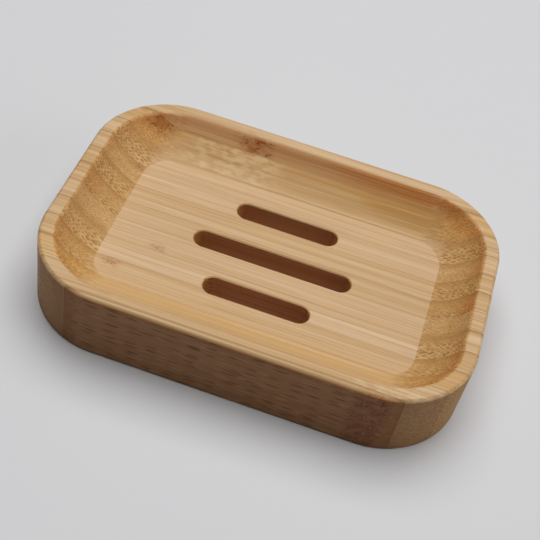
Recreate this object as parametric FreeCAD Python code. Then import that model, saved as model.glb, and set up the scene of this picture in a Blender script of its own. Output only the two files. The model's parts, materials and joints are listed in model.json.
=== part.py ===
import FreeCAD, Part
import math
import os

# A soap dish milled from a block of bamboo laths that are glued face to face.
# X runs along the laths, Y across them from the near edge to the far one, and Z up.
# The origin is the middle of the flat underside. All lengths are in millimetres.

# The block
LENGTH = 120.0
WIDTH = 82.0
HEIGHT = 21.5
CORNER_RADIUS = 23.7

# The laths, laid out both ways from the middle one, which lies a little off the dish's middle line;
# what is left at an edge is a lath of its own, unless it is thinner than the thinnest
LATH_THICKNESS = 7.3
MIDDLE_LATH_Y = 0.85
THINNEST_LATH = 1.2

# The basin: its wall leans in from the rim to the floor, and is hollowed by the bow
RIM_WIDTH = 4.3
BASIN_DEPTH = 9.6
WALL_RUN = 10.6
WALL_BOW = 1.25

# The drain slots, a long one between two short ones
SLOT_WIDTH = 6.2
MIDDLE_SLOT_LENGTH = 46.0
SIDE_SLOT_LENGTH = 30.2
SLOT_PITCH = 15.4

# What cutters and sanding leave on the edges: rounds by their radius, bevels by their width;
# the outer edge of the rim is a bevel that swells out by its crown
RIM_ROUND = 1.6
OUTER_BEVEL = 0.8
OUTER_CROWN = 0.08
BASE_BEVEL = 0.4
SLOT_BEVEL = 0.3

# How far a cutter runs past the faces that it opens, and how near two heights count as one
OVERRUN = 4.0
HEIGHT_MATCH = 0.001

UP = FreeCAD.Vector(0, 0, 1)
ORIGIN = FreeCAD.Vector(0, 0, 0)
QUARTER_TURN = 90.0

FLOOR_HEIGHT = HEIGHT - BASIN_DEPTH
CORNER_X = LENGTH / 2 - CORNER_RADIUS
CORNER_Y = WIDTH / 2 - CORNER_RADIUS


def at(reach, height):
    """A point of the upright section, so far out from a corner's axis and so high."""
    return FreeCAD.Vector(reach, 0, height)


def arc_about(centre, start, end):
    """The shorter arc about a centre between two points that are equally far from it."""
    middle = (start - centre) + (end - centre)
    middle.normalize()
    return Part.Arc(start, centre + middle * (start - centre).Length, end).toShape()


def touching(wall_centre, gap, height):
    """The centre of a round at a given height whose distance from the wall's centre is the gap."""
    rise = height - wall_centre.z
    return at(wall_centre.x + math.sqrt(gap * gap - rise * rise), height)


def dish_section():
    """The dish's section from a corner's axis out to its side, with every edge already eased."""
    floor_edge = at(CORNER_RADIUS - RIM_WIDTH - WALL_RUN, FLOOR_HEIGHT)
    mouth_edge = at(CORNER_RADIUS - RIM_WIDTH, HEIGHT)
    chord = mouth_edge - floor_edge
    wall_radius = (chord.Length ** 2 / 4 + WALL_BOW ** 2) / (2 * WALL_BOW)
    inward_and_up = at(-chord.z, chord.x).normalize()
    wall_centre = (floor_edge + mouth_edge) / 2 + inward_and_up * (wall_radius - WALL_BOW)

    rim_centre = touching(wall_centre, wall_radius + RIM_ROUND, HEIGHT - RIM_ROUND)
    wall_top = wall_centre + (rim_centre - wall_centre).normalize() * wall_radius
    rim_inside = at(rim_centre.x, HEIGHT)

    base_end = at(CORNER_RADIUS - BASE_BEVEL, 0)
    side_foot = at(CORNER_RADIUS, BASE_BEVEL)
    side_top = at(CORNER_RADIUS, HEIGHT - OUTER_BEVEL)
    rim_outside = at(CORNER_RADIUS - OUTER_BEVEL, HEIGHT)
    outward_and_up = at(1, 1).normalize()
    crown = (side_top + rim_outside) / 2 + outward_and_up * OUTER_CROWN

    return Part.Face(
        Part.Wire(
            [
                Part.makeLine(ORIGIN, base_end),
                Part.makeLine(base_end, side_foot),
                Part.makeLine(side_foot, side_top),
                Part.Arc(side_top, crown, rim_outside).toShape(),
                Part.makeLine(rim_outside, rim_inside),
                arc_about(rim_centre, rim_inside, wall_top),
                arc_about(wall_centre, wall_top, floor_edge),
                Part.makeLine(floor_edge, at(0, FLOOR_HEIGHT)),
                Part.makeLine(at(0, FLOOR_HEIGHT), ORIGIN),
            ]
        )
    )


def dish_body():
    """The dish with no slots: a floor, and the section run along each side and turned round each corner."""
    section = dish_section()
    floor_corner = FreeCAD.Vector(-CORNER_X, -CORNER_Y, 0)
    floor = Part.makeBox(2 * CORNER_X, 2 * CORNER_Y, FLOOR_HEIGHT, floor_corner)
    pieces = []
    corners = [(CORNER_X, CORNER_Y), (-CORNER_X, CORNER_Y), (-CORNER_X, -CORNER_Y), (CORNER_X, -CORNER_Y)]
    for turn, (x, y) in enumerate(corners):
        before_x, before_y = corners[turn - 1]
        face = section.copy()
        face.rotate(ORIGIN, UP, QUARTER_TURN * turn)
        face.translate(FreeCAD.Vector(x, y, 0))
        pieces.append(face.revolve(FreeCAD.Vector(x, y, 0), UP, QUARTER_TURN))
        pieces.append(face.extrude(FreeCAD.Vector(before_x - x, before_y - y, 0)))
    return floor.fuse(pieces).removeSplitter()


def slot_cutter(length, y):
    """One drain slot with half-round ends, from below the underside to above the floor."""
    end_radius = SLOT_WIDTH / 2
    end_x = length / 2 - end_radius
    right_centre = FreeCAD.Vector(end_x, y, -OVERRUN)
    left_centre = FreeCAD.Vector(-end_x, y, -OVERRUN)
    outward = FreeCAD.Vector(end_radius, 0, 0)
    across = FreeCAD.Vector(0, end_radius, 0)
    edges = [
        Part.Arc(right_centre - across, right_centre + outward, right_centre + across).toShape(),
        Part.makeLine(right_centre + across, left_centre + across),
        Part.Arc(left_centre + across, left_centre - outward, left_centre - across).toShape(),
        Part.makeLine(left_centre - across, right_centre - across),
    ]
    return Part.Face(Part.Wire(edges)).extrude(UP * (HEIGHT + OVERRUN))


def level_face(shape, height):
    """The largest flat face that lies level at a height."""
    level = [
        face
        for face in shape.Faces
        if face.BoundBox.ZLength < HEIGHT_MATCH and abs(face.BoundBox.ZMin - height) < HEIGHT_MATCH
    ]
    return max(level, key=lambda face: face.Area)


def opening_edges(face):
    """The edges of the openings in a face."""
    outline = face.OuterWire
    return [edge for wire in face.Wires if not wire.isSame(outline) for edge in wire.Edges]


def milled_dish():
    """The whole dish, slots and all, before it is told apart into laths."""
    slots = [
        slot_cutter(SIDE_SLOT_LENGTH, -SLOT_PITCH),
        slot_cutter(MIDDLE_SLOT_LENGTH, 0),
        slot_cutter(SIDE_SLOT_LENGTH, SLOT_PITCH),
    ]
    dish = dish_body().cut(slots)
    mouths = opening_edges(level_face(dish, FLOOR_HEIGHT)) + opening_edges(level_face(dish, 0))
    return dish.makeChamfer(SLOT_BEVEL, mouths)


def joints_towards(side):
    """The Y of each glue joint from the middle lath out to the near edge (-1) or the far edge (1)."""
    joints = []
    joint = MIDDLE_LATH_Y + side * LATH_THICKNESS / 2
    while WIDTH / 2 - side * joint > THINNEST_LATH:
        joints.append(joint)
        joint += side * LATH_THICKNESS
    return joints


def lath_spans():
    """Each lath's name, numbered outwards from the middle, with the two Y that it lies between."""
    near, far = joints_towards(-1), joints_towards(1)
    beyond = WIDTH / 2 + OVERRUN
    spans = {"middle_lath": (near[0], far[0])}
    for number, (inner, outer) in enumerate(zip(near, [*near[1:], -beyond]), start=1):
        spans[f"near_lath_{number}"] = (outer, inner)
    for number, (inner, outer) in enumerate(zip(far, [*far[1:], beyond]), start=1):
        spans[f"far_lath_{number}"] = (inner, outer)
    return spans


def lath(dish, near, far):
    """What the milling left of one lath, between its two glue joints."""
    corner = FreeCAD.Vector(-LENGTH / 2 - OVERRUN, near, -OVERRUN)
    blank = Part.makeBox(LENGTH + 2 * OVERRUN, far - near, HEIGHT + 2 * OVERRUN, corner)
    return dish.common(blank)


def main():
    os.makedirs("parts", exist_ok=True)
    dish = milled_dish()
    for name, (near, far) in lath_spans().items():
        piece = lath(dish, near, far)
        piece.exportStep(f"parts/{name}.step")
        state = "valid" if piece.isValid() else "not valid"
        print(name, len(piece.Solids), "solid,", round(piece.Volume), "mm3,", state)


main()
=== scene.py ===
"""A soap dish of laminated bamboo: the finish of its laths, its glue lines and a studio stage."""
import json
import math
from typing import NamedTuple

import bpy
from bpy.types import NodeSocket
from mathutils import Matrix, Vector

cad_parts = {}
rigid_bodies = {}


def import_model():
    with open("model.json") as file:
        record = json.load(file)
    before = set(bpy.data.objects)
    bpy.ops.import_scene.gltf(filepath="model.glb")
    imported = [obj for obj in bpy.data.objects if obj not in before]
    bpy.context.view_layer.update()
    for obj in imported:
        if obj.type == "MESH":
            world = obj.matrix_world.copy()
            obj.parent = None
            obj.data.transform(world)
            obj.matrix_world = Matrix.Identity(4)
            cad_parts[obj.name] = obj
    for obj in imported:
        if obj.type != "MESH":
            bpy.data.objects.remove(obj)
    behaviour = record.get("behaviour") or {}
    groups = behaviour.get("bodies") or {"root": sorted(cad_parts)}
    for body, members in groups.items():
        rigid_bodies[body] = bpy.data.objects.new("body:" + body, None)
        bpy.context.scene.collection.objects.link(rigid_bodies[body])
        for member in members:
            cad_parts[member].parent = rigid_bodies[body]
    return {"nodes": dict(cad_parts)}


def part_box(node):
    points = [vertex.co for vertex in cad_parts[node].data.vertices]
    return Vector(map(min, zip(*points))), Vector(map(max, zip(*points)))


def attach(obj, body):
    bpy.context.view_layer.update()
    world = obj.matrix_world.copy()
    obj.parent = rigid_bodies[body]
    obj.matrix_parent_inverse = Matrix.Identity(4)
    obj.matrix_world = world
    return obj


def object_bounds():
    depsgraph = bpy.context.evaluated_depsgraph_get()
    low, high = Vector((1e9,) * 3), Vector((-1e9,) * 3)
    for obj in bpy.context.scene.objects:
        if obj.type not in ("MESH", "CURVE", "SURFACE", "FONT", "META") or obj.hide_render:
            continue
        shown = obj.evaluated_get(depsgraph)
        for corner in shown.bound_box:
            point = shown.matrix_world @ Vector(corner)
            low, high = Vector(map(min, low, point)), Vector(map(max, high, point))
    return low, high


bl_info = {
    "name": "Bamboo Soap Dish",
    "version": (1, 0, 0),
    "blender": (4, 5, 0),
    "location": "View3D > Sidebar > Soap Dish",
    "description": "Finishes a laminated bamboo soap dish and sets it on a studio stage",
    "category": "Object",
}

for leftover in list(bpy.data.objects):
    bpy.data.objects.remove(leftover)
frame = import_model()
CAD_LOW, CAD_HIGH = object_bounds()

BODY = "root"
MILLIMETRE = 0.001
LATH_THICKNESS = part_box("middle_lath")[1].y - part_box("middle_lath")[0].y
WHITE = (1.0, 1.0, 1.0, 1.0)

# The X of a knot that a lath doesn't have, far off the dish
NO_KNOT = 1.0


class LathLook(NamedTuple):
    """What tells one lath from another, with places and reaches along it in metres."""

    tone: str  # its ground colour, by the name in the grain's settings
    skin_side: int  # where the culm's skin was: 1 for its far side, -1 for its near side
    seed: float
    coarseness: float  # how far from the pith its coarse fibres reach, as a share of its thickness
    knots: tuple = ()  # the X of the middles of up to two knots
    knot_depth: float = 0.0  # how strongly the knots show
    knot_reach: float = 0.0034
    side_tone: str = ""  # the ground colour of its outer side, where that is another one
    bloom: float = 0.0  # how strongly its pale ripples show
    bloom_middle: float = 0.0
    bloom_reach: float = 0.018
    golden: float = 0.0  # how golden it is on the basin's wall
    wall_shade: float = 0.35  # how much painted shade it has at the top of the basin's wall
    dashes: float = 0.28  # how strongly the dashes on its outer side show


# From the near edge to the far one
LATH_LOOKS = {
    # Its russet outer side is partly the skin side's own colour and partly painted shade
    "near_lath_6": LathLook(
        "pale", 1, 0.7, 0.4, knots=(0.0375,), knot_depth=1.0, knot_reach=0.0050,
        side_tone="russet", dashes=0.85,
    ),
    "near_lath_5": LathLook(
        "tan", -1, 1.9, 0.4, knots=(0.0360, -0.0340), knot_depth=0.25, side_tone="umber",
        bloom=0.6, bloom_middle=0.0400, bloom_reach=0.012,
    ),
    "near_lath_4": LathLook("honey", 1, 3.2, 0.6),
    "near_lath_3": LathLook("tan", 1, 4.6, 0.5, knots=(-0.0405,), knot_depth=0.5, wall_shade=0.5),
    "near_lath_2": LathLook("pale", 1, 5.1, 0.9, wall_shade=0.3),
    "near_lath_1": LathLook("pale", -1, 6.8, 0.1, knots=(-0.0310,), knot_depth=0.4, wall_shade=0.1),
    "middle_lath": LathLook("tan", 1, 7.4, 0.4, wall_shade=0.7),
    "far_lath_1": LathLook("tan", 1, 8.3, 1.0, wall_shade=0.1),
    "far_lath_2": LathLook("pale", 1, 9.7, 0.1, knots=(-0.0475,), knot_depth=0.5, wall_shade=0.5),
    "far_lath_3": LathLook("pale", 1, 10.2, 0.9, wall_shade=0.4),
    "far_lath_4": LathLook(
        "honey", 1, 11.5, 0.05, knots=(-0.0480,), knot_depth=1.0, knot_reach=0.0065,
        bloom=1.0, bloom_middle=-0.0220, golden=1.15,
    ),
    "far_lath_5": LathLook(
        "tan", -1, 12.9, 0.5, knots=(-0.0165,), knot_depth=1.0, knot_reach=0.0045, golden=0.5, wall_shade=0.9,
    ),
}


class Ramp(NamedTuple):
    """A smooth step from low, where a value is at the start, to high, where it is at the end."""

    start: float
    end: float
    low: float = 0.0
    high: float = 1.0


# Which kind of face a point lies on, by the parts of its normal
END_FACING = Ramp(0.10, 0.50)
SLOT_STEEPNESS = Ramp(0.60, 0.30)
SIDE_STEEPNESS = Ramp(0.52, 0.34)
FLANK_STEEPNESS = Ramp(0.84, 0.50)
WALL_STEEPNESS = Ramp(0.95, 0.80)
FAR_WALL_FACING = Ramp(-0.15, -0.50)
UNDERSIDE_FACING = Ramp(-0.50, -0.90)

# Which kind of face a point lies on, by its place
SLOT_ZONE_X = CAD_HIGH.x * 0.5
SLOT_ZONE_Y = CAD_HIGH.y * 0.5
RIM_HEIGHT = CAD_HIGH.z * 0.97
END_RIM_HEIGHT = CAD_HIGH.z * 0.95
END_RIM_REACH = Ramp(CAD_HIGH.x * 0.86, CAD_HIGH.x * 0.95, high=0.22)

# How the grain of one lath is shifted from the next one's, and how its fibres stray
SEED_STEP = (0.53, 0.17, 0.31)
NOISE_MIDDLE = (0.5, 0.5, 0.5)
DRIFT_SHARES = (0.0, 0.4, 1.0)
WANDER_PITCH_SHARE = 0.25
KNOT_WANDER_TIMES = 2.0

# Fibre bundles, by the distance from a bundle's middle and by chance
BUNDLE_LINE = Ramp(0.40, 0.16)
BUNDLE_DOT = Ramp(0.48, 0.26)
BUNDLE_CORE = Ramp(0.16, 0.04, high=0.4)
BUNDLE_STRENGTH = Ramp(0.0, 1.0, low=0.45)
BUNDLE_BREAKS = Ramp(0.30, 0.60, low=0.25)
FINE_FIBRES = Ramp(-0.35, 0.25)
FINE_DOT_SHARE = 0.75
LONG_FIBRE_SHARE = 0.32
END_FIBRE_SHARE = 0.80

# The skin side of a lath: golden, with dense fibres on end grain and a dark line on the rim
SKIN_OCHRE = Ramp(0.60, 1.00, high=0.35)
SKIN_FIBRES = Ramp(0.62, 1.00, high=0.30)
SKIN_LINE = Ramp(0.90, 0.99, high=0.38)

# Streaks, hair-fine streaks and the rim's bands, by their noise
CREAM_STREAK = Ramp(0.50, 0.28, high=0.55)
OCHRE_STREAK = Ramp(0.50, 0.72, high=0.45)
CREAM_HAIR = Ramp(0.48, 0.25, high=0.35)
BROWN_HAIR = Ramp(0.52, 0.78, high=0.25)
CREAM_BAND = Ramp(0.50, 0.36, high=0.45)
OCHRE_BAND = Ramp(0.52, 0.66, high=0.45)

# The golden tone of the far wall, which grows to the right, and of the underside
GOLDEN_RIGHTWARD = Ramp(CAD_HIGH.x * 0.05, CAD_HIGH.x * 0.55, low=0.12)
GOLDEN_HAIR = Ramp(0.40, 0.62, low=0.55, high=1.35)
UNDERSIDE_HAIR = Ramp(0.48, 0.62, high=0.6)

# The painted shade at the top of the basin's wall, darker and more orange-brown, which grows to the right
WALL_SHADE_RIGHTWARD = Ramp(0.0, CAD_HIGH.x * 0.3, low=0.5)
WALL_SHADE_HAIR = Ramp(0.30, 0.60, low=0.55, high=1.15)

# Pale ripples, by their noise and by how far along their reach a point lies
RIPPLE = Ramp(0.34, 0.66)
RIPPLE_STRETCH = Ramp(0.35, 0.55, low=0.3)
RIPPLE_FADE = Ramp(1.0, 0.5)

# Dashes on the outer sides, by the distance from a dash's middle; by chance they are pale or dark
DASH = Ramp(0.46, 0.24)
DARK_DASH = Ramp(0.45, 0.55)

# Knots, by the distance from a fleck's middle, the nearness of the knot and a mottle
KNOT_SKIN = Ramp(0.30, 0.80, low=0.15)
RIM_KNOT_SHARE = 0.40
FLECK = Ramp(0.50, 0.25)
FLECK_MOTTLE = Ramp(0.38, 0.58)
FLECK_KNOT = Ramp(0.10, 0.60, high=0.85)
PALE_FLECK = Ramp(0.50, 0.60, high=0.5)
STAIN_MOTTLE = Ramp(0.28, 0.60, low=0.25)
STAIN_KNOT = Ramp(0.05, 0.90, high=0.90)

# The satin oil on the bamboo, and the relief of its fibres
BAMBOO_IOR = 1.45
BAMBOO_SPECULAR = 0.26
BAMBOO_ROUGHNESS = 0.40
HAIR_ROUGHNESS = 0.16
END_ROUGHNESS = 0.14
BUNDLE_SINK = 0.5
RELIEF_STRENGTH = 0.5

# How a joint's outline is found: by distances, by how a face is turned, and by edges with one face
MERGE_DISTANCE = 1e-7
JOINT_DISTANCE = 1e-6
JOINT_FACING = 0.99
ONE_FACE = 1.0
COUNT_TOLERANCE = 0.5

# The glue's colour, pale where it was sanded and darker again on the rim, and uneven along a joint
SANDED_GLUE = Ramp(CAD_HIGH.z * 0.1, CAD_HIGH.z * 0.5, low=0.25, high=0.95)
RIM_GLUE = Ramp(CAD_HIGH.z * 0.95, CAD_HIGH.z, high=0.45)
GLUE_PATCH_LENGTH = 0.012
GLUE_PATCH_PITCH = 0.004
GLUE_UNEVENNESS = 0.9
GLUE_ROUGHNESS = 0.35
PATCH_ROUGHNESS = 0.3

# The floor: how far it lies below the dish, and how even it is
FLOOR_DROP = 0.1 * MILLIMETRE
FLOOR_CLOUDS_PER_METRE = (6.0, 6.0, 6.0)
FLOOR_SHADE_SHARE = 0.97
FLOOR_ROUGHNESS = 0.7


class GrainSettings(bpy.types.PropertyGroup):
    """Sizes and colours of the bamboo's grain"""

    pale: bpy.props.FloatVectorProperty(
        name="Pale Lath", description="Ground colour of the palest laths",
        subtype="COLOR", size=3, min=0, max=1, default=(0.560, 0.372, 0.203),
    )
    tan: bpy.props.FloatVectorProperty(
        name="Tan Lath", description="Ground colour of the laths between pale and honey",
        subtype="COLOR", size=3, min=0, max=1, default=(0.535, 0.345, 0.174),
    )
    honey: bpy.props.FloatVectorProperty(
        name="Honey Lath", description="Ground colour of the golden laths",
        subtype="COLOR", size=3, min=0, max=1, default=(0.552, 0.342, 0.152),
    )
    umber: bpy.props.FloatVectorProperty(
        name="Umber Side", description="Ground colour of the side of a lath next to a russet one",
        subtype="COLOR", size=3, min=0, max=1, default=(0.475, 0.285, 0.150),
    )
    # Partly painted shade: the russet side has the reddish brown of the culm's skin side, and is darkened
    # further as painted shade on the dish's near side
    russet: bpy.props.FloatVectorProperty(
        name="Russet Side", description="Ground colour of a side that was cut close to the culm's skin",
        subtype="COLOR", size=3, min=0, max=1, default=(0.390, 0.182, 0.068),
    )
    cream_gain: bpy.props.FloatVectorProperty(
        name="Cream Gain", description="How much brighter than the ground colour the palest streaks are",
        subtype="COLOR", size=3, min=0, max=2, default=(1.16, 1.30, 1.54),
    )
    ochre_tint: bpy.props.FloatVectorProperty(
        name="Ochre Tint", description="What the golden streaks keep of the ground colour",
        subtype="COLOR", size=3, min=0, max=1, default=(0.82, 0.74, 0.51),
    )
    fibre_tint: bpy.props.FloatVectorProperty(
        name="Fibre Tint", description="What the fibre bundles keep of the ground colour",
        subtype="COLOR", size=3, min=0, max=1, default=(0.44, 0.30, 0.17),
    )
    stain_tint: bpy.props.FloatVectorProperty(
        name="Stain Tint", description="What the stain round a knot of the culm keeps of the ground colour",
        subtype="COLOR", size=3, min=0, max=1, default=(0.62, 0.38, 0.21),
    )
    fleck_tint: bpy.props.FloatVectorProperty(
        name="Fleck Tint", description="What the dark flecks at a knot keep of the ground colour",
        subtype="COLOR", size=3, min=0, max=1, default=(0.36, 0.17, 0.08),
    )
    # Painted shade: the outer sides are darkened against the top, as if the lamps left them in shade
    side_shade_tint: bpy.props.FloatVectorProperty(
        name="Side Shade Tint", description="What the outer sides keep, darker than the sanded top",
        subtype="COLOR", size=3, min=0, max=1, default=(0.835, 0.825, 0.850),
    )
    end_tint: bpy.props.FloatVectorProperty(
        name="End Grain Tint", description="What end grain keeps of the colour of long grain",
        subtype="COLOR", size=3, min=0, max=1, default=(0.950, 0.845, 0.595),
    )
    slot_tint: bpy.props.FloatVectorProperty(
        name="Slot Tint", description="What the walls of the drain slots keep, scorched by the cutter",
        subtype="COLOR", size=3, min=0, max=1, default=(1.000, 0.720, 0.560),
    )
    # Painted shade: the top of the basin's wall is darkened and made more orange-brown, where the steep wall
    # lies in shade
    wall_shade_tint: bpy.props.FloatVectorProperty(
        name="Wall Shade Tint", description="What the top of the basin's wall keeps, burnished by the cutter",
        subtype="COLOR", size=3, min=0, max=1, default=(0.945, 0.600, 0.400),
    )
    # Painted light: the far wall's upper part is made brighter in colour, in place of light that the lamps
    # don't give it
    far_wall_light_gain: bpy.props.FloatVectorProperty(
        name="Far Wall Light Gain", description="How much brighter the far wall's upper part is than its foot",
        subtype="COLOR", size=3, min=0, max=2, default=(1.17, 1.16, 1.16),
    )
    far_wall_light_start: bpy.props.FloatProperty(
        name="Far Wall Light Start", description="Height at which the far wall begins to be brighter",
        unit="LENGTH", min=0, default=0.0135,
    )
    far_wall_light_full: bpy.props.FloatProperty(
        name="Far Wall Light Full", description="Height above which the far wall is brightest",
        unit="LENGTH", min=0, default=0.0170,
    )
    # Painted shade at the top of the basin's wall: the heights where it begins and where it is full
    wall_shade_start: bpy.props.FloatProperty(
        name="Burnish Start", description="Height at which the burnish of the basin's wall begins",
        unit="LENGTH", min=0, default=0.0150,
    )
    wall_shade_full: bpy.props.FloatProperty(
        name="Burnish Full", description="Height at which the burnish of the basin's wall is full",
        unit="LENGTH", min=0, default=0.0205,
    )
    bundle_pitch: bpy.props.FloatProperty(
        name="Bundle Pitch", description="Distance between fibre bundles on the pith side of a coarse lath",
        unit="LENGTH", min=0, default=0.00085,
    )
    row_turn: bpy.props.FloatProperty(
        name="Row Turn", description="How far the rows of fibre bundles are turned in a lath's section",
        subtype="ANGLE", default=math.radians(35),
    )
    skin_pitch: bpy.props.FloatProperty(
        name="Skin Pitch", description="Distance between fibre bundles on the skin side of a lath",
        unit="LENGTH", min=0, default=0.00055,
    )
    bundle_length: bpy.props.FloatProperty(
        name="Bundle Length", description="Length over which a fibre bundle fades and comes back",
        unit="LENGTH", min=0, default=0.020,
    )
    streak_pitch: bpy.props.FloatProperty(
        name="Streak Pitch", description="Width of the broad streaks of tone",
        unit="LENGTH", min=0, default=0.0016,
    )
    streak_length: bpy.props.FloatProperty(
        name="Streak Length", description="Length over which a broad streak changes",
        unit="LENGTH", min=0, default=0.160,
    )
    hair_pitch: bpy.props.FloatProperty(
        name="Hair Pitch", description="Width of the finest streaks",
        unit="LENGTH", min=0, default=0.00040,
    )
    hair_length: bpy.props.FloatProperty(
        name="Hair Length", description="Length over which the finest streaks change",
        unit="LENGTH", min=0, default=0.040,
    )
    wander: bpy.props.FloatProperty(
        name="Wander", description="How far the fibres stray from a straight line",
        unit="LENGTH", min=0, default=0.0022,
    )
    wander_length: bpy.props.FloatProperty(
        name="Wander Length", description="Length over which the fibres stray",
        unit="LENGTH", min=0, default=0.080,
    )
    knot_ripple: bpy.props.FloatProperty(
        name="Knot Ripple", description="Size of the ripples that the fibres make at a knot",
        unit="LENGTH", min=0, default=0.0034,
    )
    fleck_length: bpy.props.FloatProperty(
        name="Fleck Length", description="Length of the flecks at a knot",
        unit="LENGTH", min=0, default=0.0012,
    )
    fleck_pitch: bpy.props.FloatProperty(
        name="Fleck Pitch", description="Distance between the flecks at a knot",
        unit="LENGTH", min=0, default=0.00055,
    )
    dash_length: bpy.props.FloatProperty(
        name="Dash Length", description="Length of the dashes on the outer sides",
        unit="LENGTH", min=0, default=0.0055,
    )
    dash_pitch: bpy.props.FloatProperty(
        name="Dash Pitch", description="Distance between the dashes on the outer sides",
        unit="LENGTH", min=0, default=0.00062,
    )
    bloom_ripple: bpy.props.FloatProperty(
        name="Bloom Ripple", description="Size of the pale ripples",
        unit="LENGTH", min=0, default=0.0030,
    )
    band_pitch: bpy.props.FloatProperty(
        name="Band Pitch", description="Width of the bands of tone that show on the rim",
        unit="LENGTH", min=0, default=0.0013,
    )
    relief: bpy.props.FloatProperty(
        name="Relief", description="Height of the fibres that sanding leaves",
        unit="LENGTH", min=0, default=0.000020,
    )


class GlueSettings(bpy.types.PropertyGroup):
    """Size and colours of the glue lines"""

    bead_radius: bpy.props.FloatProperty(
        name="Bead Radius", description="Half the width of the line of glue that shows at a joint",
        unit="LENGTH", min=0, default=0.000045,
    )
    bead_sides: bpy.props.IntProperty(
        name="Bead Sides", description="Number of flats round the line of glue",
        min=3, default=6,
    )
    dark: bpy.props.FloatVectorProperty(
        name="Dark Glue", description="Colour of the glue on the underside",
        subtype="COLOR", size=3, min=0, max=1, default=(0.120, 0.058, 0.022),
    )
    pale: bpy.props.FloatVectorProperty(
        name="Pale Glue", description="Colour of the glue in the basin, where it was sanded",
        subtype="COLOR", size=3, min=0, max=1, default=(0.500, 0.315, 0.150),
    )


class StageSettings(bpy.types.PropertyGroup):
    """The floor, the lights and the camera"""

    floor_colour: bpy.props.FloatVectorProperty(
        name="Floor", description="Colour of the pale floor",
        subtype="COLOR", size=3, min=0, max=1, default=(0.600, 0.600, 0.612),
    )
    floor_width: bpy.props.FloatProperty(
        name="Floor Width", description="Width of the floor",
        unit="LENGTH", min=0, default=30.0,
    )
    glow: bpy.props.FloatProperty(
        name="Far Glow", description="Strength of the glow that keeps the far floor pale",
        min=0, default=0.96,
    )
    glow_start: bpy.props.FloatProperty(
        name="Glow Start", description="Distance from the dish at which the floor's glow begins",
        unit="LENGTH", min=0, default=0.18,
    )
    glow_full: bpy.props.FloatProperty(
        name="Glow Full", description="Distance from the dish at which the floor's glow is full",
        unit="LENGTH", min=0, default=1.70,
    )
    sky: bpy.props.FloatProperty(
        name="Sky", description="Strength of the even light from all round",
        min=0, default=0.03,
    )
    key_power: bpy.props.FloatProperty(
        name="Key Light", description="Power of the large soft light above the dish, in watts",
        min=0, default=12.3,
    )
    key_width: bpy.props.FloatProperty(
        name="Key Width", description="Width of the large soft light",
        unit="LENGTH", min=0, default=1.0,
    )
    key_place: bpy.props.FloatVectorProperty(
        name="Key Place", description="Where the large soft light hangs",
        subtype="TRANSLATION", size=3, default=(-0.03, 0.20, 0.95),
    )
    fill_power: bpy.props.FloatProperty(
        name="Fill Light", description="Power of the weak soft light to the right of the dish, in watts",
        min=0, default=2.6,
    )
    fill_width: bpy.props.FloatProperty(
        name="Fill Width", description="Width of the weak soft light",
        unit="LENGTH", min=0, default=0.7,
    )
    fill_place: bpy.props.FloatVectorProperty(
        name="Fill Place", description="Where the weak soft light hangs",
        subtype="TRANSLATION", size=3, default=(1.0, 0.05, 0.35),
    )
    camera_target: bpy.props.FloatVectorProperty(
        name="Camera Target", description="The point that the camera looks at",
        subtype="TRANSLATION", size=3, default=(0.0, 0.0, 0.008),
    )
    camera_place: bpy.props.FloatVectorProperty(
        name="Camera Place", description="Where the camera stands",
        subtype="TRANSLATION", size=3, default=(0.0252, -0.2066, 0.2345),
    )
    camera_roll: bpy.props.FloatProperty(
        name="Camera Roll", description="How far the camera's right side is raised above level",
        subtype="ANGLE", default=math.radians(13.3),
    )
    lens: bpy.props.FloatProperty(
        name="Lens", description="Focal length of the camera, in millimetres",
        min=1, default=73.0,
    )


def opaque(colour):
    """A colour with its alpha, as a colour socket takes it."""
    return (*colour, 1.0)


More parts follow.
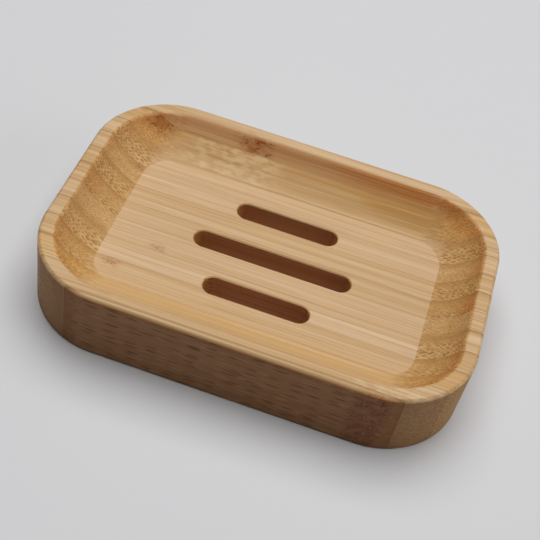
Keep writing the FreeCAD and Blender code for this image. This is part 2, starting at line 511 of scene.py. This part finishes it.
class Recipe:
    """A node tree being written, with short calls for the nodes that it takes."""

    def __init__(self, tree):
        self.tree = tree

    def node(self, kind, inputs=None, **options):
        """Add a node, set its options, and set or link its inputs by name or place."""
        node = self.tree.nodes.new(kind)
        for option, value in options.items():
            setattr(node, option, value)
        for key, value in (inputs or {}).items():
            if isinstance(value, NodeSocket):
                self.tree.links.new(value, node.inputs[key])
            else:
                node.inputs[key].default_value = value
        return node

    def sockets(self, in_out, kinds):
        """Give the tree its named inputs or outputs."""
        for name, kind in kinds.items():
            self.tree.interface.new_socket(name, in_out=in_out, socket_type=f"NodeSocket{kind}")

    def math(self, operation, *values):
        """The result of one sum."""
        return self.node("ShaderNodeMath", dict(enumerate(values)), operation=operation).outputs[0]

    def product(self, first, *others):
        """The values multiplied together."""
        for other in others:
            first = self.math("MULTIPLY", first, other)
        return first

    def without(self, share):
        """What a share leaves of the whole."""
        return self.math("SUBTRACT", 1.0, share)

    def vector(self, operation, *values):
        """The result of one sum on vectors."""
        return self.node("ShaderNodeVectorMath", dict(enumerate(values)), operation=operation).outputs[0]

    def split(self, vector):
        """The three parts of a vector."""
        return self.node("ShaderNodeSeparateXYZ", {0: vector}).outputs

    def join(self, x, y, z):
        """A vector of three parts."""
        return self.node("ShaderNodeCombineXYZ", {0: x, 1: y, 2: z}).outputs[0]

    def rise(self, value, ramp):
        """How high a ramp is at a value."""
        inputs = {0: value, 1: ramp.start, 2: ramp.end, 3: ramp.low, 4: ramp.high}
        return self.node("ShaderNodeMapRange", inputs, interpolation_type="SMOOTHSTEP").outputs[0]

    def between(self, share, first, second):
        """A number between two others."""
        return self.node("ShaderNodeMix", {0: share, 2: first, 3: second}).outputs[0]

    def mix(self, share, first, second, blend="MIX"):
        """A mixture of two colours."""
        inputs = {0: share, 6: first, 7: second}
        return self.node("ShaderNodeMix", inputs, data_type="RGBA", blend_type=blend).outputs[2]

    def tint(self, share, colour, tint):
        """A colour multiplied by a tint, as far as the share says."""
        return self.mix(share, colour, opaque(tint), "MULTIPLY")

    def along_grain(self, point, length, pitch):
        """A point in steps of a length along the lath and of a pitch across it."""
        return self.vector("MULTIPLY", point, (1 / length, 1 / pitch, 1 / pitch))

    def noise(self, vector, detail=2.0, roughness=0.5):
        """Noise with steps of one unit."""
        inputs = {"Vector": vector, "Scale": 1.0, "Detail": detail, "Roughness": roughness}
        return self.node("ShaderNodeTexNoise", inputs).outputs

    def streaks(self, point, length, pitch, **texture):
        """Noise that changes over a length along the lath and a pitch across it."""
        return self.noise(self.along_grain(point, length, pitch), **texture)[0]

    def cells(self, vector, dimensions="2D", spread=0.55):
        """The distance from the middle of a cell of one unit, and a chance number for that cell."""
        inputs = {"Vector": vector, "Scale": 1.0, "Randomness": spread}
        field = self.node("ShaderNodeTexVoronoi", inputs, voronoi_dimensions=dimensions).outputs
        return field["Distance"], self.split(field["Color"])[0]

    def surface(self, inputs):
        """End a material in one shader."""
        shader = self.node("ShaderNodeBsdfPrincipled", inputs)
        self.node("ShaderNodeOutputMaterial", {"Surface": shader.outputs[0]})


def blank_finish(name):
    """A new material without nodes, and the recipe to write them with."""
    material = bpy.data.materials.new(name)
    material.use_nodes = True
    material.node_tree.nodes.clear()
    return material, Recipe(material.node_tree)


class CutFaces(NamedTuple):
    """How far a point lies on each kind of face, from 0 to 1."""

    end: NodeSocket  # end grain
    slot: NodeSocket  # a drain slot's wall
    wall: NodeSocket  # the basin's wall
    far_wall: NodeSocket  # the basin's wall, where it faces the near edge
    side: NodeSocket  # an outer side
    flank: NodeSocket  # an outer side and the bevels next to it
    under: NodeSocket  # the underside
    rim: NodeSocket


def slot_zone(recipe, x, y):
    """Whether a point lies in the middle of the dish, where the drain slots are."""
    inside_x = recipe.math("LESS_THAN", recipe.math("ABSOLUTE", x), SLOT_ZONE_X)
    inside_y = recipe.math("LESS_THAN", recipe.math("ABSOLUTE", y), SLOT_ZONE_Y)
    return recipe.product(inside_x, inside_y)


def facing_inward(recipe, normal, place):
    """Whether a face leans towards the dish's middle."""
    level = recipe.vector("MULTIPLY", normal, (1.0, 1.0, 0.0))
    outward = recipe.node("ShaderNodeVectorMath", {0: level, 1: place}, operation="DOT_PRODUCT")
    return recipe.math("LESS_THAN", outward.outputs["Value"], 0.0)


def end_rim(recipe, x, z):
    """How far the rim at either end of the dish looks like end grain."""
    reach = recipe.rise(recipe.math("ABSOLUTE", x), END_RIM_REACH)
    return recipe.product(reach, recipe.math("GREATER_THAN", z, END_RIM_HEIGHT))


def cut_faces(recipe, place):
    """Tell the faces that the milling left apart, by where they lie and which way they face."""
    normal = recipe.node("ShaderNodeNewGeometry").outputs["Normal"]
    facing_x, facing_y, facing_z = recipe.split(normal)
    x, y, z = recipe.split(place)
    flatness = recipe.math("ABSOLUTE", facing_z)
    by_slots = slot_zone(recipe, x, y)
    off_slots = recipe.without(by_slots)
    inward = facing_inward(recipe, normal, place)
    outside = recipe.product(recipe.without(inward), off_slots)
    steep = recipe.rise(flatness, SIDE_STEEPNESS)
    wall = recipe.product(inward, recipe.rise(facing_z, WALL_STEEPNESS), off_slots)
    end = recipe.rise(recipe.math("ABSOLUTE", facing_x), END_FACING)
    end = recipe.product(end, recipe.math("MAXIMUM", inward, steep))
    return CutFaces(
        end=recipe.math("MAXIMUM", end, end_rim(recipe, x, z)),
        slot=recipe.product(recipe.rise(flatness, SLOT_STEEPNESS), by_slots),
        wall=wall,
        far_wall=recipe.product(wall, recipe.rise(facing_y, FAR_WALL_FACING)),
        side=recipe.product(outside, steep),
        flank=recipe.product(outside, recipe.rise(flatness, FLANK_STEEPNESS)),
        under=recipe.rise(facing_z, UNDERSIDE_FACING),
        rim=recipe.math("GREATER_THAN", z, RIM_HEIGHT),
    )


class Shades(NamedTuple):
    """The colours that a lath's ground colour gives rise to."""

    cream: NodeSocket
    ochre: NodeSocket
    fibre: NodeSocket
    stain: NodeSocket
    fleck: NodeSocket


# What each lath sets on the grain, apart from its two ground colours
LATH_NUMBERS = (
    "Lath Middle", "Skin Side", "Seed", "Coarseness",
    "First Knot", "Second Knot", "Knot Depth", "Knot Reach",
    "Bloom", "Bloom Middle", "Bloom Reach", "Golden", "Wall Shade", "Dashes",
)


class BambooGrain(Recipe):
    """The grain that all the laths share: where a point lies among the fibres, and its colour."""

    def __init__(self, tree, settings):
        super().__init__(tree)
        numbers = dict.fromkeys(LATH_NUMBERS, "Float")
        self.sockets("INPUT", {**numbers, "Ground": "Color", "Side Ground": "Color"})
        self.sockets("OUTPUT", {"Color": "Color", "Roughness": "Float", "Height": "Float"})
        self.settings = settings
        self.inputs = self.node("NodeGroupInput").outputs
        self.place = self.node("ShaderNodeTexCoord").outputs["Object"]
        self.x, self.y, self.z = self.split(self.place)
        self.faces = cut_faces(self, self.place)
        self.skin = self.skin_nearness()
        self.knot = self.knot_nearness()
        self.point = self.strayed()
        self.hair = self.streaks(self.point, settings.hair_length, settings.hair_pitch, roughness=0.6)
        self.bundle = self.bundles()
        self.ground = self.mix(self.faces.flank, self.inputs["Ground"], self.inputs["Side Ground"])
        self.shades = self.shades_of_ground()

    def skin_nearness(self):
        """How near a point is to the side of the culm's skin, from 0 at the pith to 1 at the skin."""
        across = self.math("SUBTRACT", self.y, self.inputs["Lath Middle"])
        across = self.math("DIVIDE", across, LATH_THICKNESS)
        return self.math("MULTIPLY_ADD", across, self.inputs["Skin Side"], 0.5)

    def knot_nearness(self):
        """How near a point is to one of the lath's two knots, from 0 to 1, and least on the pith side."""
        nearness = []
        for name in ("First Knot", "Second Knot"):
            away = self.math("SUBTRACT", self.x, self.inputs[name])
            away = self.math("DIVIDE", away, self.inputs["Knot Reach"])
            nearness.append(self.math("EXPONENT", self.product(away, away, -1.0)))
        depth = self.product(self.inputs["Knot Depth"], self.rise(self.skin, KNOT_SKIN))
        return self.product(self.math("MAXIMUM", *nearness), depth)

    def drift(self, point, length, pitch, reach):
        """A shift across the lath, up to half the reach each way, over a length and a pitch."""
        cloud = self.noise(self.along_grain(point, length, pitch))["Color"]
        centred = self.vector("SUBTRACT", cloud, NOISE_MIDDLE)
        return self.vector("MULTIPLY", centred, [share * reach for share in DRIFT_SHARES])

    def strayed(self):
        """The point shifted as the fibres there stray from a straight line, most of all round a knot."""
        grain = self.settings
        start = self.vector("ADD", self.place, self.vector("MULTIPLY", self.inputs["Seed"], SEED_STEP))
        wander_pitch = grain.wander_length * WANDER_PITCH_SHARE
        slow = self.drift(start, grain.wander_length, wander_pitch, grain.wander)
        swerve = self.drift(start, grain.knot_ripple, grain.knot_ripple, grain.wander * KNOT_WANDER_TIMES)
        swerve = self.node("ShaderNodeVectorMath", {0: swerve, 3: self.knot}, operation="SCALE").outputs[0]
        return self.vector("ADD", self.vector("ADD", start, slow), swerve)

    def bundles_at(self, pitch):
        """Fibre bundles at a pitch: the lines that they are on long grain, and the dots on end grain."""
        turn = {"Vector": self.point, "Angle": self.settings.row_turn}
        turned = self.node("ShaderNodeVectorRotate", turn, rotation_type="X_AXIS").outputs[0]
        _, y, z = self.split(turned)
        section = self.join(self.math("DIVIDE", y, pitch), self.math("DIVIDE", z, pitch), 0.0)
        distance, chance = self.cells(section)
        strength = self.rise(chance, BUNDLE_STRENGTH)
        breaks = self.rise(self.streaks(self.point, self.settings.bundle_length, pitch), BUNDLE_BREAKS)
        line = self.product(self.rise(distance, BUNDLE_LINE), breaks, strength)
        dot = self.math("SUBTRACT", self.rise(distance, BUNDLE_DOT), self.rise(distance, BUNDLE_CORE))
        return line, self.product(dot, strength)

    def bundles(self):
        """A point's fibre bundles: finer towards the skin, and lines or dots by the face it lies on."""
        coarse_line, coarse_dot = self.bundles_at(self.settings.bundle_pitch)
        fine_line, fine_dot = self.bundles_at(self.settings.skin_pitch)
        fineness = self.rise(self.math("SUBTRACT", self.skin, self.inputs["Coarseness"]), FINE_FIBRES)
        line = self.between(fineness, coarse_line, fine_line)
        dot = self.between(fineness, coarse_dot, self.product(fine_dot, FINE_DOT_SHARE))
        return self.between(self.faces.end, line, dot)

    def shades_of_ground(self):
        """The streaks, fibres and flecks that belong to the ground colour."""
        grain = self.settings
        tints = (grain.cream_gain, grain.ochre_tint, grain.fibre_tint, grain.stain_tint, grain.fleck_tint)
        return Shades(*(self.tint(1.0, self.ground, tint) for tint in tints))

    def golden(self):
        """How golden a point is: on the basin's wall as its lath says, and in streaks underneath."""
        wall = self.product(self.inputs["Golden"], self.faces.wall, self.without(self.faces.end))
        wall = self.product(wall, self.rise(self.x, GOLDEN_RIGHTWARD), self.rise(self.hair, GOLDEN_HAIR))
        return self.math("ADD", wall, self.product(self.faces.under, self.rise(self.hair, UNDERSIDE_HAIR)))

    def streaked(self):
        """The ground colour with broad streaks of cream and ochre, and fine ones of cream and brown."""
        grain = self.settings
        broad = self.streaks(self.point, grain.streak_length, grain.streak_pitch, detail=3.0)
        ochre = self.math("ADD", self.rise(broad, OCHRE_STREAK), self.golden())
        colour = self.mix(self.rise(broad, CREAM_STREAK), self.ground, self.shades.cream)
        colour = self.mix(ochre, colour, self.shades.ochre)
        colour = self.mix(self.rise(self.hair, CREAM_HAIR), colour, self.shades.cream)
        colour = self.mix(self.rise(self.hair, BROWN_HAIR), colour, self.shades.fibre)
        return self.mix(self.rise(self.skin, SKIN_OCHRE), colour, self.shades.ochre)

    def banded(self, colour):
        """The colour with what shows on the rim: bands of cream and ochre, and a dark line at the skin."""
        bands = self.streaks(self.point, self.settings.streak_length, self.settings.band_pitch, detail=1.0)
        layers = (
            (bands, CREAM_BAND, self.shades.cream),
            (bands, OCHRE_BAND, self.shades.ochre),
            (self.skin, SKIN_LINE, self.shades.fibre),
        )
        for value, ramp, shade in layers:
            colour = self.mix(self.product(self.rise(value, ramp), self.faces.rim), colour, shade)
        return colour

    def bloomed(self, colour):
        """The colour with the pale ripples that show where fibres rise to the surface."""
        grain = self.settings
        away = self.math("ABSOLUTE", self.math("SUBTRACT", self.x, self.inputs["Bloom Middle"]))
        fade = self.rise(self.math("DIVIDE", away, self.inputs["Bloom Reach"]), RIPPLE_FADE)
        ripples = self.streaks(self.point, grain.bloom_ripple, grain.bloom_ripple / 2, detail=1.5)
        stretch = self.streaks(self.point, grain.bundle_length, grain.bundle_length)
        shown = self.product(self.rise(ripples, RIPPLE), self.rise(stretch, RIPPLE_STRETCH), fade)
        share = self.product(shown, self.inputs["Bloom"], self.without(self.faces.under))
        return self.mix(share, colour, self.shades.cream)

    def fibred(self, colour):
        """The colour with the fibre bundles, which are strongest on the darker end grain."""
        end = self.faces.end
        strength = self.between(end, LONG_FIBRE_SHARE, END_FIBRE_SHARE)
        dense = self.product(end, self.rise(self.skin, SKIN_FIBRES))
        share = self.math("MAXIMUM", self.product(self.bundle, strength), dense)
        return self.mix(share, self.tint(end, colour, self.settings.end_tint), self.shades.fibre)

    def dashed(self, colour):
        """The colour with the short dashes, dark or pale, of fibres that end in an outer side."""
        grain = self.settings
        steps = self.along_grain(self.point, grain.dash_length, grain.dash_pitch)
        distance, chance = self.cells(steps, "3D", spread=1.0)
        long_side = self.product(self.faces.side, self.without(self.faces.end), self.inputs["Dashes"])
        shade = self.mix(self.rise(chance, DARK_DASH), self.shades.cream, self.shades.fibre)
        return self.mix(self.product(self.rise(distance, DASH), long_side), colour, shade)

    def flecked(self, colour):
        """The colour with a knot's stain and its flecks, which are dark, or on an outer side partly pale."""
        grain = self.settings
        steps = self.along_grain(self.point, grain.fleck_length, grain.fleck_pitch)
        distance, chance = self.cells(steps, "3D", spread=1.0)
        mottle = self.streaks(self.point, grain.knot_ripple, grain.knot_ripple / 2)
        knot = self.product(self.knot, self.between(self.faces.rim, 1.0, RIM_KNOT_SHARE))
        stain = self.product(self.rise(knot, STAIN_KNOT), self.rise(mottle, STAIN_MOTTLE))
        flecks = self.product(self.rise(distance, FLECK), self.rise(mottle, FLECK_MOTTLE))
        flecks = self.product(flecks, self.rise(knot, FLECK_KNOT))
        pale = self.product(self.rise(chance, PALE_FLECK), self.faces.side)
        shade = self.mix(pale, self.shades.fleck, self.inputs["Ground"])
        return self.mix(flecks, self.mix(stain, colour, self.shades.stain), shade)

    def shaded_lit_and_scorched(self, colour):
        """The colour with painted shade on the outer sides, painted light on the far wall's upper part,
        painted shade at the top of the basin's wall, and scorched slots.
        """
        grain = self.settings
        # Painted light on the far wall's upper part
        far_wall_light = self.product(self.faces.far_wall, self.rise(self.z, Ramp(grain.far_wall_light_start, grain.far_wall_light_full)))
        # Painted shade at the top of the basin's wall, growing to the right
        wall_shade = self.rise(self.z, Ramp(grain.wall_shade_start, grain.wall_shade_full))
        wall_shade = self.product(wall_shade, self.faces.wall, self.inputs["Wall Shade"])
        rightward = self.rise(self.x, WALL_SHADE_RIGHTWARD)
        wall_shade = self.product(wall_shade, rightward, self.rise(self.hair, WALL_SHADE_HAIR))
        # Painted shade on the outer sides
        colour = self.tint(self.faces.side, colour, grain.side_shade_tint)
        colour = self.tint(far_wall_light, colour, grain.far_wall_light_gain)
        colour = self.tint(wall_shade, colour, grain.wall_shade_tint)
        return self.tint(self.faces.slot, colour, grain.slot_tint)

    def roughness(self):
        """How rough the oiled surface is, uneven along the grain and roughest on end grain."""
        long_grain = self.math("MULTIPLY_ADD", self.hair, HAIR_ROUGHNESS, BAMBOO_ROUGHNESS)
        return self.math("MULTIPLY_ADD", self.faces.end, END_ROUGHNESS, long_grain)

    def height(self):
        """How high the sanded surface stands, with the fibre bundles a little sunk."""
        return self.math("MULTIPLY_ADD", self.bundle, -BUNDLE_SINK, self.hair)


def grain_group(settings):
    """The node group of the grain that all the laths share."""
    tree = bpy.data.node_groups.new("bamboo_grain", "ShaderNodeTree")
    grain = BambooGrain(tree, settings)
    colour = grain.streaked()
    for layer in (grain.banded, grain.bloomed, grain.fibred, grain.dashed, grain.flecked, grain.shaded_lit_and_scorched):
        colour = layer(colour)
    outputs = {"Color": colour, "Roughness": grain.roughness(), "Height": grain.height()}
    grain.node("NodeGroupOutput", outputs)
    return tree


def lath_middle(name):
    """The Y of a whole lath's middle: an edge lath was cut thinner after gluing, from its outer side."""
    near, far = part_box(name)[0].y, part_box(name)[1].y
    return far - LATH_THICKNESS / 2 if name.startswith("near") else near + LATH_THICKNESS / 2


def lath_inputs(name, look, grain):
    """What one lath sets on the shared grain."""
    first_knot, second_knot = (*look.knots, NO_KNOT, NO_KNOT)[:2]
    return {
        "Lath Middle": lath_middle(name),
        "Skin Side": look.skin_side,
        "Seed": look.seed,
        "Coarseness": look.coarseness,
        "First Knot": first_knot,
        "Second Knot": second_knot,
        "Knot Depth": look.knot_depth,
        "Knot Reach": look.knot_reach,
        "Bloom": look.bloom,
        "Bloom Middle": look.bloom_middle,
        "Bloom Reach": look.bloom_reach,
        "Golden": look.golden,
        "Wall Shade": look.wall_shade,
        "Dashes": look.dashes,
        "Ground": opaque(getattr(grain, look.tone)),
        "Side Ground": opaque(getattr(grain, look.side_tone or look.tone)),
    }


def lath_material(name, look, group, grain):
    """One lath's finish: the shared grain with this lath's own look."""
    material, recipe = blank_finish(f"bamboo_{name}")
    fibres = recipe.node("ShaderNodeGroup", lath_inputs(name, look, grain), node_tree=group).outputs
    bump = recipe.node("ShaderNodeBump", {
        "Strength": RELIEF_STRENGTH,
        "Distance": grain.relief,
        "Height": fibres["Height"],
    })
    recipe.surface({
        "Base Color": fibres["Color"],
        "Roughness": fibres["Roughness"],
        "Normal": bump.outputs[0],
        "IOR": BAMBOO_IOR,
        "Specular IOR Level": BAMBOO_SPECULAR,
    })
    return material


class SOAPDISH_OT_finish_laths(bpy.types.Operator):
    """Give every lath its own bamboo grain"""

    bl_idname = "soap_dish.finish_laths"
    bl_label = "Finish Laths"

    def execute(self, context):
        grain = context.scene.dish_grain
        group = grain_group(grain)
        for name, look in LATH_LOOKS.items():
            material = lath_material(name, look, group, grain)
            for slot in frame["nodes"][name].material_slots:
                slot.material = material
        return {"FINISHED"}


def outline_group():
    """A tree that finds the outline of the far face of one lath, where the next lath is glued on."""
    tree = bpy.data.node_groups.new("joint_outline", "GeometryNodeTree")
    recipe = Recipe(tree)
    recipe.sockets("INPUT", {"Lath": "Object"})
    recipe.sockets("OUTPUT", {"Outline": "Geometry"})
    lath = recipe.node("NodeGroupInput").outputs["Lath"]
    lath = recipe.node("GeometryNodeObjectInfo", {"Object": lath}, transform_space="ORIGINAL")
    loose = {"Geometry": lath.outputs["Geometry"], "Distance": MERGE_DISTANCE}
    solid = recipe.node("GeometryNodeMergeByDistance", loose).outputs[0]
    far_edge = recipe.split(recipe.node("GeometryNodeBoundBox", {"Geometry": solid}).outputs["Max"])[1]
    place_y = recipe.split(recipe.node("GeometryNodeInputPosition").outputs[0])[1]
    facing_y = recipe.split(recipe.node("GeometryNodeInputNormal").outputs[0])[1]
    on_joint = recipe.math("GREATER_THAN", place_y, recipe.math("SUBTRACT", far_edge, JOINT_DISTANCE))
    far_face = recipe.product(on_joint, recipe.math("GREATER_THAN", facing_y, JOINT_FACING))
    glued = {"Geometry": solid, "Selection": far_face}
    face = recipe.node("GeometryNodeSeparateGeometry", glued, domain="FACE")
    faces_at_edge = recipe.node("GeometryNodeInputMeshEdgeNeighbors").outputs[0]
    border = recipe.math("COMPARE", faces_at_edge, ONE_FACE, COUNT_TOLERANCE)
    outline = recipe.node("GeometryNodeMeshToCurve", {"Mesh": face.outputs[0], "Selection": border})
    recipe.node("NodeGroupOutput", {"Outline": outline.outputs[0]})
    return tree


def glue_group(joints):
    """A tree that runs a bead of glue round every joint between two laths."""
    tree = bpy.data.node_groups.new("glue_lines", "GeometryNodeTree")
    recipe = Recipe(tree)
    recipe.sockets("INPUT", {
        "Geometry": "Geometry",
        "Bead Radius": "Float",
        "Bead Sides": "Int",
        "Finish": "Material",
        **dict.fromkeys(joints, "Object"),
    })
    recipe.sockets("OUTPUT", {"Geometry": "Geometry"})
    inputs = recipe.node("NodeGroupInput").outputs
    outline = outline_group()
    together = recipe.node("GeometryNodeJoinGeometry")
    for name in joints:
        joint = recipe.node("GeometryNodeGroup", node_tree=outline)
        tree.links.new(inputs[name], joint.inputs["Lath"])
        tree.links.new(joint.outputs["Outline"], together.inputs[0])
    ring = recipe.node("GeometryNodeCurvePrimitiveCircle", {
        "Resolution": inputs["Bead Sides"],
        "Radius": inputs["Bead Radius"],
    })
    bead = recipe.node("GeometryNodeCurveToMesh", {
        "Curve": together.outputs[0],
        "Profile Curve": ring.outputs[0],
    })
    real = recipe.node("GeometryNodeRealizeInstances", {"Geometry": bead.outputs[0]})
    finished = recipe.node("GeometryNodeSetMaterial", {
        "Geometry": real.outputs[0],
        "Material": inputs["Finish"],
    })
    recipe.node("NodeGroupOutput", {"Geometry": finished.outputs[0]})
    return tree


def set_inputs(modifier, values):
    """Set a Geometry Nodes modifier's inputs by the names that its tree gives them."""
    for item in modifier.node_group.interface.items_tree:
        if item.in_out == "INPUT" and item.name in values:
            modifier[item.identifier] = values[item.name]


def plain_mesh(holder, name):
    """What the holder's modifier makes, as an object with a plain mesh, in place of the holder."""
    bpy.context.view_layer.update()
    evaluated = holder.evaluated_get(bpy.context.evaluated_depsgraph_get())
    mesh = bpy.data.meshes.new_from_object(evaluated)
    bpy.data.objects.remove(holder)
    mesh.name = name
    piece = bpy.data.objects.new(name, mesh)
    bpy.context.scene.collection.objects.link(piece)
    return piece


def glue_material(glue):
    """Brown glue, darker on the underside than in the sanded basin, and uneven along each joint."""
    material, recipe = blank_finish("glue")
    place = recipe.node("ShaderNodeTexCoord").outputs["Object"]
    height = recipe.split(place)[2]
    patches = recipe.streaks(place, GLUE_PATCH_LENGTH, GLUE_PATCH_PITCH)
    uneven = recipe.math("MULTIPLY_ADD", patches, GLUE_UNEVENNESS, -GLUE_UNEVENNESS / 2)
    paleness = recipe.math("SUBTRACT", recipe.rise(height, SANDED_GLUE), recipe.rise(height, RIM_GLUE))
    paleness = recipe.math("ADD", paleness, uneven)
    recipe.surface({
        "Base Color": recipe.mix(paleness, opaque(glue.dark), opaque(glue.pale)),
        "Roughness": recipe.math("MULTIPLY_ADD", patches, PATCH_ROUGHNESS, GLUE_ROUGHNESS),
    })
    return material


class SOAPDISH_OT_glue_joints(bpy.types.Operator):
    """Draw the line of glue that shows round each joint between two laths"""

    bl_idname = "soap_dish.glue_joints"
    bl_label = "Glue Joints"

    def execute(self, context):
        glue = context.scene.dish_glue
        joints = list(LATH_LOOKS)[:-1]
        holder = bpy.data.objects.new("glue_holder", bpy.data.meshes.new("glue_holder"))
        context.scene.collection.objects.link(holder)
        modifier = holder.modifiers.new("Glue Lines", "NODES")
        modifier.node_group = glue_group(joints)
        set_inputs(modifier, {
            "Bead Radius": glue.bead_radius,
            "Bead Sides": glue.bead_sides,
            "Finish": glue_material(glue),
            **{name: frame["nodes"][name] for name in joints},
        })
        lines = plain_mesh(holder, "glue_lines")
        if not lines.data.polygons:
            raise RuntimeError("no joint between laths was found, so there is no glue to draw")
        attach(lines, BODY)
        return {"FINISHED"}


def floor_material(stage):
    """A pale floor, faintly clouded, whose far parts glow so that they stay as pale as the near ones."""
    material, recipe = blank_finish("floor")
    place = recipe.node("ShaderNodeTexCoord").outputs["Object"]
    clouds = recipe.noise(recipe.vector("MULTIPLY", place, FLOOR_CLOUDS_PER_METRE))[0]
    pale = opaque(stage.floor_colour)
    shade = opaque(part * FLOOR_SHADE_SHARE for part in stage.floor_colour)
    away = recipe.node("ShaderNodeVectorMath", {0: place}, operation="LENGTH").outputs["Value"]
    recipe.surface({
        "Base Color": recipe.mix(clouds, pale, shade),
        "Roughness": FLOOR_ROUGHNESS,
        "Emission Color": pale,
        "Emission Strength": recipe.rise(away, Ramp(stage.glow_start, stage.glow_full, high=stage.glow)),
    })
    return material


def lay_floor(stage):
    """Lay the pale floor just under the dish."""
    half = stage.floor_width / 2
    corners = [(x, y, -FLOOR_DROP) for x, y in ((-half, -half), (half, -half), (half, half), (-half, half))]
    mesh = bpy.data.meshes.new("floor")
    mesh.from_pydata(corners, [], [(0, 1, 2, 3)])
    mesh.materials.append(floor_material(stage))
    floor = bpy.data.objects.new("floor", mesh)
    bpy.context.scene.collection.objects.link(floor)


def aimed(place, target):
    """The matrix of a lamp or a camera that stands at a place and looks at a target, kept level."""
    back = (Vector(place) - Vector(target)).normalized()
    right = Vector((0, 0, 1)).cross(back).normalized()
    up = back.cross(right)
    matrix = Matrix((right, up, back)).transposed().to_4x4()
    matrix.translation = place
    return matrix


def soft_light(name, power, width, place, target):
    """A square soft light that hangs at a place and shines on a target."""
    lamp = bpy.data.lights.new(name, "AREA")
    lamp.energy = power
    lamp.size = width
    light = bpy.data.objects.new(name, lamp)
    light.matrix_world = aimed(place, target)
    bpy.context.scene.collection.objects.link(light)


def hang_lights(stage):
    """Hang a large soft light above the dish and a weak one to its right, in even light all round."""
    soft_light("key", stage.key_power, stage.key_width, stage.key_place, stage.camera_target)
    soft_light("fill", stage.fill_power, stage.fill_width, stage.fill_place, stage.camera_target)
    world = bpy.data.worlds.new("studio")
    world.use_nodes = True
    sky = world.node_tree.nodes["Background"].inputs
    sky["Color"].default_value = WHITE
    sky["Strength"].default_value = stage.sky
    bpy.context.scene.world = world


def place_camera(stage):
    """Place the camera at the photograph's viewing angle."""
    camera = bpy.data.objects.new("camera", bpy.data.cameras.new("camera"))
    camera.data.lens = stage.lens
    camera.data.clip_start = MILLIMETRE
    roll = Matrix.Rotation(stage.camera_roll, 4, "Z")
    camera.matrix_world = aimed(stage.camera_place, stage.camera_target) @ roll
    bpy.context.scene.collection.objects.link(camera)
    bpy.context.scene.camera = camera


class SOAPDISH_OT_set_stage(bpy.types.Operator):
    """Lay the floor, hang the lights and place the camera"""

    bl_idname = "soap_dish.set_stage"
    bl_label = "Set Stage"

    def execute(self, context):
        stage = context.scene.dish_stage
        lay_floor(stage)
        hang_lights(stage)
        place_camera(stage)
        context.scene.view_settings.view_transform = "Standard"
        return {"FINISHED"}


SETTINGS = {
    "dish_grain": GrainSettings,
    "dish_glue": GlueSettings,
    "dish_stage": StageSettings,
}
STEPS = (
    (SOAPDISH_OT_finish_laths, "dish_grain"),
    (SOAPDISH_OT_glue_joints, "dish_glue"),
    (SOAPDISH_OT_set_stage, "dish_stage"),
)


class SOAPDISH_PT_sidebar(bpy.types.Panel):
    """The dish's operators, each with its settings"""

    bl_label = "Bamboo Soap Dish"
    bl_idname = "SOAPDISH_PT_sidebar"
    bl_space_type = "VIEW_3D"
    bl_region_type = "UI"
    bl_category = "Soap Dish"

    def draw(self, context):
        for operator, name in STEPS:
            box = self.layout.box()
            box.operator(operator.bl_idname)
            settings = getattr(context.scene, name)
            for setting in SETTINGS[name].__annotations__:
                box.prop(settings, setting)


CLASSES = (*SETTINGS.values(), *(operator for operator, _ in STEPS), SOAPDISH_PT_sidebar)


def register():
    """Add the settings, the operators and the panel to Blender."""
    for kind in CLASSES:
        bpy.utils.register_class(kind)
    for name, settings in SETTINGS.items():
        setattr(bpy.types.Scene, name, bpy.props.PointerProperty(type=settings))


def unregister():
    """Take the settings, the operators and the panel out of Blender again."""
    for name in SETTINGS:
        delattr(bpy.types.Scene, name)
    for kind in reversed(CLASSES):
        bpy.utils.unregister_class(kind)


def main():
    """Finish the dish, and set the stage."""
    register()
    bpy.ops.soap_dish.finish_laths()
    bpy.ops.soap_dish.glue_joints()
    bpy.ops.soap_dish.set_stage()


if __name__ == "__main__":
    main()
